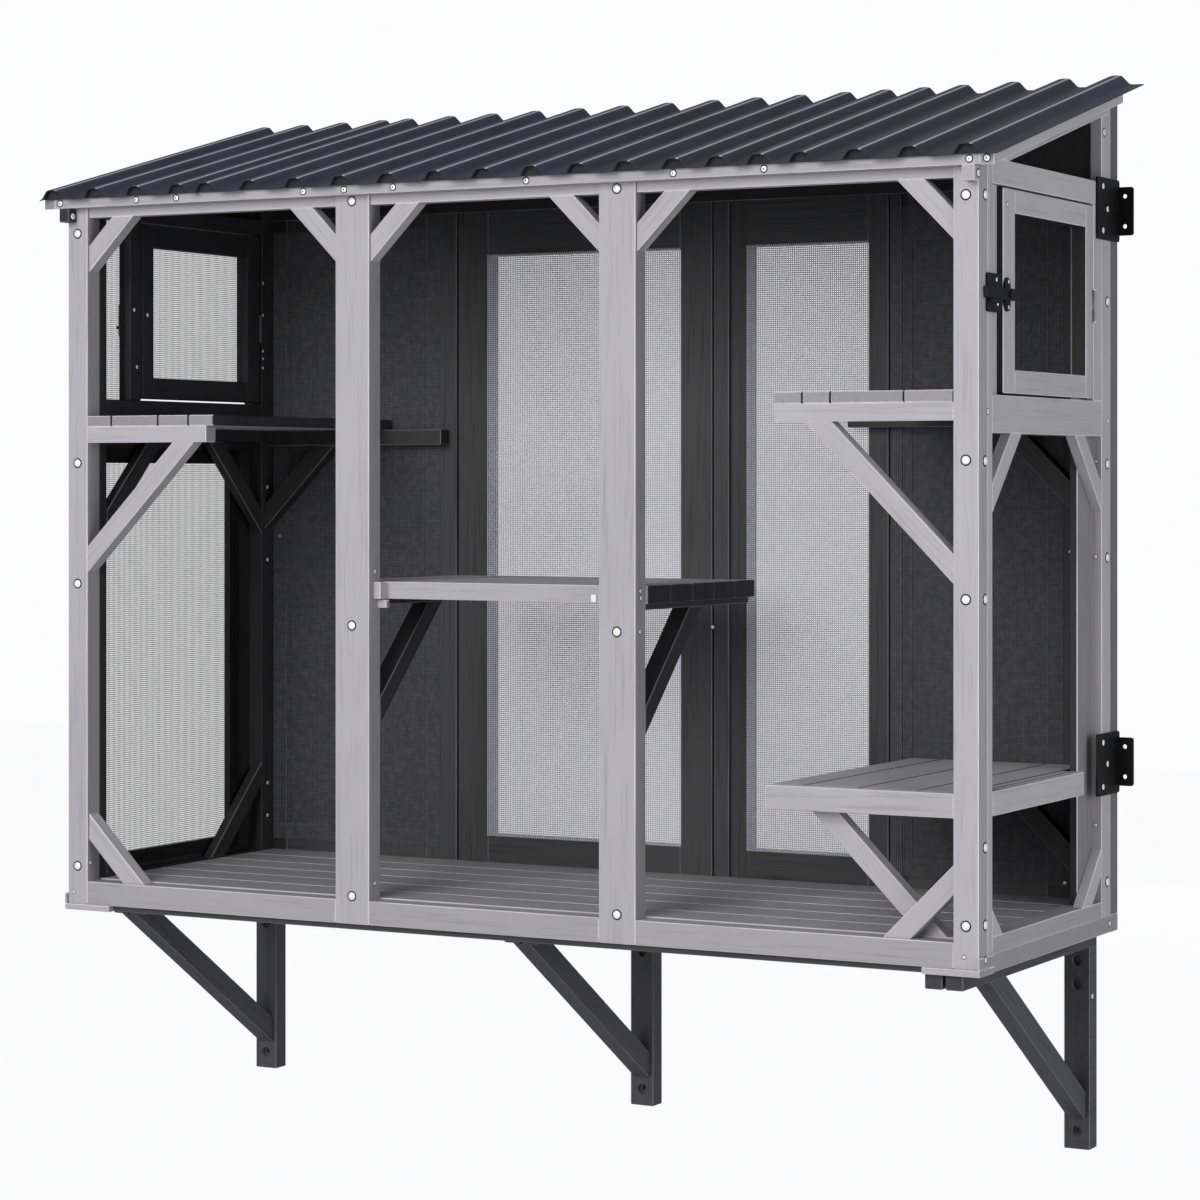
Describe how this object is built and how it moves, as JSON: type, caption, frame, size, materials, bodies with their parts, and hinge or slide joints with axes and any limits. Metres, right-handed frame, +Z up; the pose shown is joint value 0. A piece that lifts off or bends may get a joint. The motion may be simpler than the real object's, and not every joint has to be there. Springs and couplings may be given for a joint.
{
  "type": "window box catio",
  "caption": "Wall-hung timber cat cabin under a corrugated lean-to roof, with four shelves, a hinged side door at each end, screened windows and three strutted wall brackets.",
  "frame": {"origin": "In the plane of the wall, half way between the corner posts, at the height of the floor's top", "axes": "+X runs to the right along the wall as seen from the front, +Y points into the wall, +Z is up; the open front faces -Y"},
  "size_m": [1.57, 0.5791, 1.5724],
  "materials": {
    "grey_stained_timber": "satin stained softwood with fine straight grain",
    "charcoal_stained_timber": "matte dark stained softwood",
    "corrugated_roof_panel": "satin navy-black coating",
    "black_insect_screen": "matte woven screen",
    "black_coated_steel": "satin powder coat",
    "zinc_plated_steel": "bright plated"
  },
  "bodies": {
    "cabin": {"roof_sheet": "corrugated_roof_panel", "front_fascia": "grey_stained_timber", "rake_fascias": "grey_stained_timber", "side_rafters": "grey_stained_timber", "middle_rafters": "charcoal_stained_timber", "back_header": "charcoal_stained_timber", "corner_posts": "grey_stained_timber", "mullions": "grey_stained_timber", "front_top_rails": "grey_stained_timber", "front_bottom_rails": "grey_stained_timber", "top_knee_braces": "grey_stained_timber", "bottom_knee_braces": "grey_stained_timber", "rafter_tails": "grey_stained_timber", "base_front_strip": "charcoal_stained_timber", "base_rails": "grey_stained_timber", "base_corner_blocks": "grey_stained_timber", "floor_joists": "charcoal_stained_timber", "floor_planks": "grey_stained_timber", "side_front_stiles": "grey_stained_timber", "side_rear_stiles": "grey_stained_timber", "side_inner_stiles": "charcoal_stained_timber", "side_bottom_rails": "grey_stained_timber", "side_mid_rails": "grey_stained_timber", "side_top_rails": "grey_stained_timber", "side_braces": "grey_stained_timber", "side_foot_braces": "grey_stained_timber", "hinge_stiles": "grey_stained_timber", "latch_stiles": "grey_stained_timber", "left_screen_rails": "charcoal_stained_timber", "left_side_screen": "black_insect_screen", "gable_screens": "black_insect_screen", "left_slot_screen": "black_insect_screen", "hinge_fixed_leaves": "black_coated_steel", "hinge_pins": "zinc_plated_steel", "latch_keepers": "black_coated_steel", "steel_corner_brackets": "black_coated_steel", "bracket_wall_boards": "charcoal_stained_timber", "bracket_arms": "charcoal_stained_timber", "bracket_struts": "charcoal_stained_timber", "back_stiles": "charcoal_stained_timber", "back_rails": "charcoal_stained_timber", "back_screens": "black_insect_screen", "back_boards": "charcoal_stained_timber", "shelf_planks": "grey_stained_timber", "shelf_edge_boards": "grey_stained_timber", "shelf_rails": "grey_stained_timber", "shelf_braces": "grey_stained_timber", "frame_bolts": "zinc_plated_steel"},
    "right_door": {"right_door_stiles": "grey_stained_timber", "right_door_rails": "grey_stained_timber", "right_door_screen": "black_insect_screen", "right_hinge_leaf": "black_coated_steel", "right_latch_plate": "black_coated_steel"},
    "right_latch": {"right_latch_bar": "black_coated_steel"},
    "left_door": {"left_door_stiles": "grey_stained_timber", "left_door_rails": "grey_stained_timber", "left_door_screen": "black_insect_screen", "left_hinge_leaf": "black_coated_steel", "left_latch_plate": "black_coated_steel"},
    "left_latch": {"left_latch_bar": "black_coated_steel"}
  },
  "joints": [
    {"name": "right_door_hinge", "type": "hinge", "parent": "cabin", "child": "right_door", "pos_m": [0.7527, -0.104, 0.863], "axis": [0, 0, 1], "range_deg": [0, 95]},
    {"name": "right_latch_pivot", "type": "hinge", "parent": "right_door", "child": "right_latch", "pos_m": [0.755, -0.441, 0.863], "axis": [-1, 0, 0], "range_deg": [0, 90]},
    {"name": "left_door_hinge", "type": "hinge", "parent": "cabin", "child": "left_door", "pos_m": [-0.7387, -0.0699, 0.863], "axis": [0, 0, -1], "range_deg": [0, 95]},
    {"name": "left_latch_pivot", "type": "hinge", "parent": "left_door", "child": "left_latch", "pos_m": [-0.741, -0.388, 0.863], "axis": [-1, 0, 0], "range_deg": [0, 90]}
  ]
}
